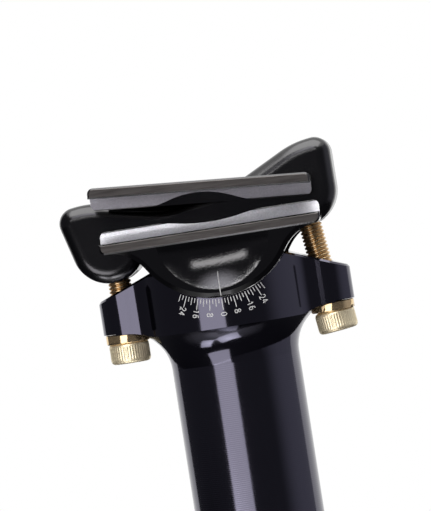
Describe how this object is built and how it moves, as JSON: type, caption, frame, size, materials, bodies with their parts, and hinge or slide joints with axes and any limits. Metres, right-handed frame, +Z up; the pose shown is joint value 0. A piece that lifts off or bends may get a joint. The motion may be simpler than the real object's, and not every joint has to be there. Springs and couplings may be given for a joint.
{
  "type": "bicycle seatpost",
  "caption": "Black setback bicycle seatpost with a bent tube and a two-bolt rail clamp that rocks in a scaled cradle to set the saddle's tilt.",
  "frame": {"origin": "on the axis of the straight lower tube, at the minimum insertion line, 75 mm above the tube's lower end", "axes": "+Z up the straight lower tube towards the bend, +X to the front of the bicycle, +Y to its left; the upper tube leans back by 10 degrees"},
  "size_m": [0.0641, 0.052, 0.2648],
  "materials": {
    "black_anodised": "glossy black anodised, finely turned on the tube",
    "yellow_zinc_steel": "pale yellow zinc plate",
    "bright_steel": "bright plated"
  },
  "bodies": {
    "post": {"post": "black_anodised"},
    "clamp": {"lower_clamp": "black_anodised", "upper_clamp": "black_anodised"},
    "front_nut": {"front_barrel_nut": "bright_steel"},
    "front_washer": {"front_washer": "yellow_zinc_steel"},
    "front_bolt": {"front_bolt": "yellow_zinc_steel"},
    "rear_nut": {"rear_barrel_nut": "bright_steel"},
    "rear_washer": {"rear_washer": "yellow_zinc_steel"},
    "rear_bolt": {"rear_bolt": "yellow_zinc_steel"}
  },
  "joints": [
    {"name": "tilt", "type": "hinge", "parent": "post", "child": "clamp", "pos_m": [-0.01858, 0, 0.17337], "axis": [0, 1, 0], "range_deg": [-2, 14]},
    {"name": "front_nut_turn", "type": "hinge", "parent": "clamp", "child": "front_nut", "pos_m": [-0.0001, 0, 0.17854], "axis": [0, 1, 0], "range_deg": [-15, 3]},
    {"name": "front_bolt_draw", "type": "slide", "parent": "front_nut", "child": "front_washer", "axis": [-0.2865, 0, 0.9581], "range_m": [-0.0012, 0.0052]},
    {"name": "front_bolt_turn", "type": "hinge", "parent": "front_washer", "child": "front_bolt", "pos_m": [0.00684, 0, 0.15532], "axis": [-0.2865, 0, 0.9581], "range_deg": [-2149, 333]},
    {"name": "rear_nut_turn", "type": "hinge", "parent": "clamp", "child": "rear_nut", "pos_m": [-0.03947, 0, 0.16606], "axis": [0, 1, 0], "range_deg": [-15, 3]},
    {"name": "rear_bolt_draw", "type": "slide", "parent": "rear_nut", "child": "rear_washer", "axis": [-0.1706, 0, 0.9853], "range_m": [-0.0059, 0.0013]},
    {"name": "rear_bolt_turn", "type": "hinge", "parent": "rear_washer", "child": "rear_bolt", "pos_m": [-0.03629, 0, 0.14771], "axis": [-0.1706, 0, 0.9853], "range_deg": [-377, 2456]}
  ],
  "couplings": [
    {"joint": "front_nut_turn", "follows": "tilt", "ratio": -1},
    {"joint": "front_bolt_draw", "follows": "tilt", "m_per_rad": 0.019263},
    {"joint": "front_bolt_turn", "follows": "tilt", "ratio": -151.29},
    {"joint": "rear_nut_turn", "follows": "tilt", "ratio": -1},
    {"joint": "rear_bolt_draw", "follows": "tilt", "m_per_rad": -0.022062},
    {"joint": "rear_bolt_turn", "follows": "tilt", "ratio": 173.28}
  ]
}
